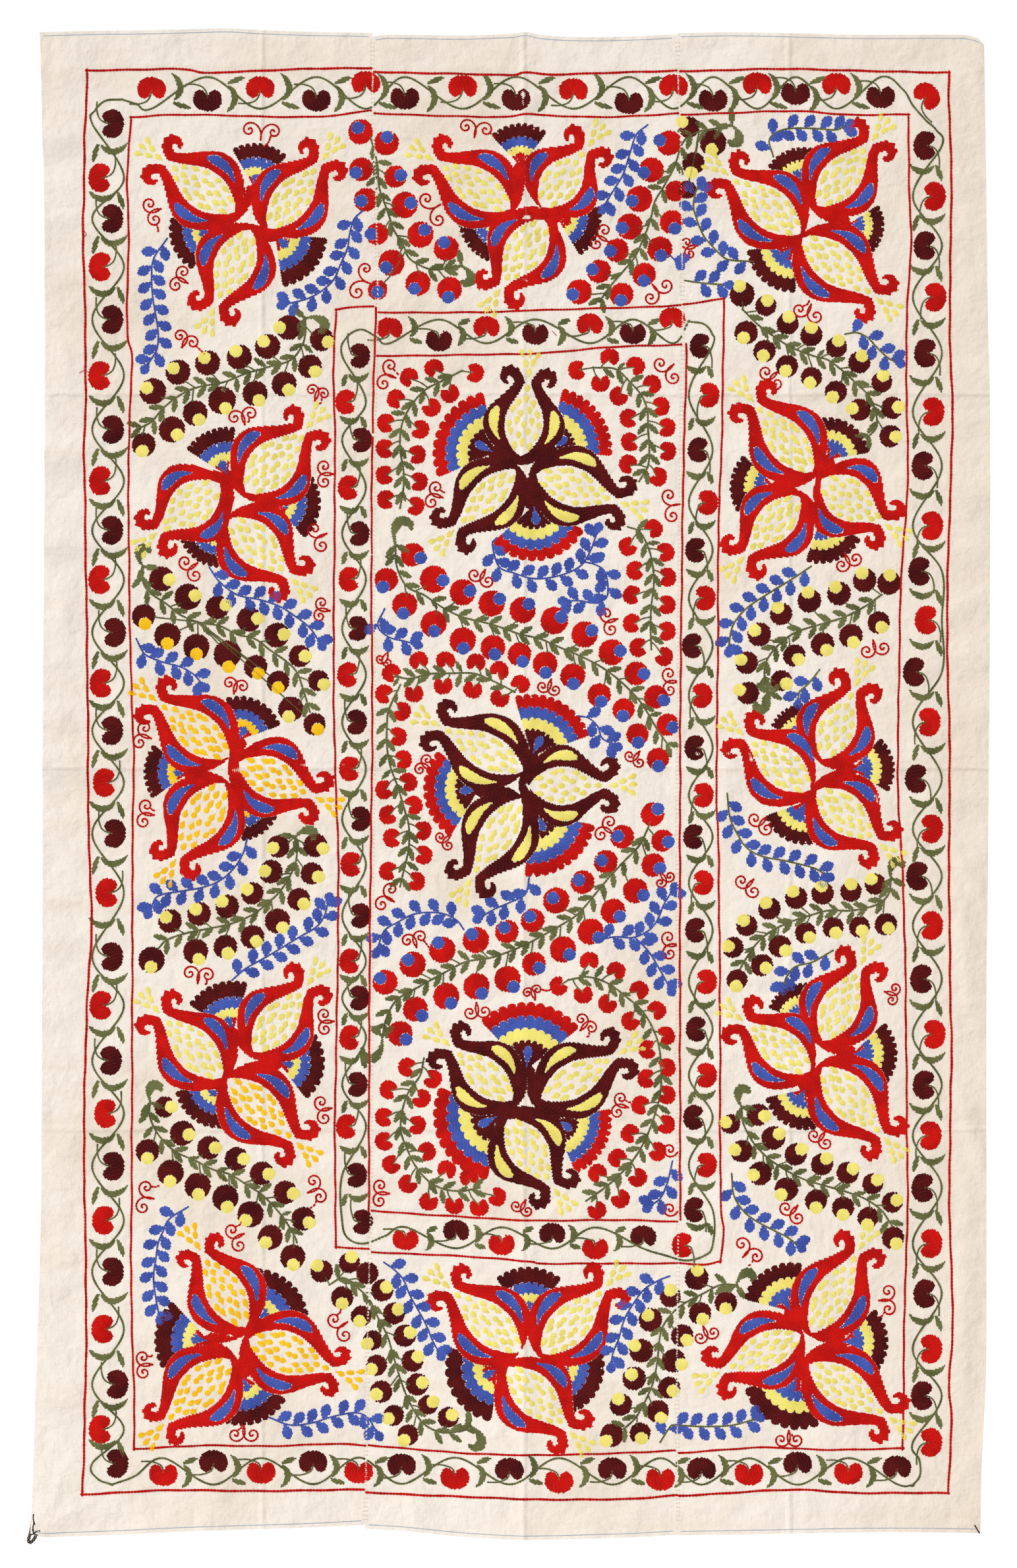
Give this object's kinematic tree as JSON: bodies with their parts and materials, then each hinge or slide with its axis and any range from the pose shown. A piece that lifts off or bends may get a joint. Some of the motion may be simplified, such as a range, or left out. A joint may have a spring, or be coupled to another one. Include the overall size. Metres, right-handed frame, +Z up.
{
  "type": "embroidered wall hanging",
  "caption": "Wall hanging of three cotton panels sewn edge to edge, embroidered with pomegranates, berry sprays and a vine border, hanging from its top edge.",
  "frame": {"origin": "middle of the top edge, where the hanging is held", "axes": "+X to the right seen from the front, +Y towards the wall, +Z up; the embroidered front faces -Y"},
  "size_m": [1.4595, 0.0188, 2.2982],
  "materials": {
    "cotton": "plain-woven unbleached cotton, matt, with small flecks",
    "printed_strip": "black cotton strip printed with cream dashes",
    "red_thread": "chain-stitched soft red cotton thread with a low sheen",
    "maroon_thread": "chain-stitched dark maroon cotton thread with a low sheen",
    "blue_thread": "chain-stitched cornflower blue cotton thread with a low sheen",
    "yellow_thread": "chain-stitched pale yellow cotton thread with a low sheen",
    "green_thread": "chain-stitched olive green cotton thread with a low sheen",
    "amber_thread": "chain-stitched amber cotton thread with a low sheen"
  },
  "bodies": {
    "root": {"panel_left": "cotton", "panel_middle": "cotton", "panel_right": "cotton", "corner_loop": "printed_strip"}
  },
  "joints": []
}
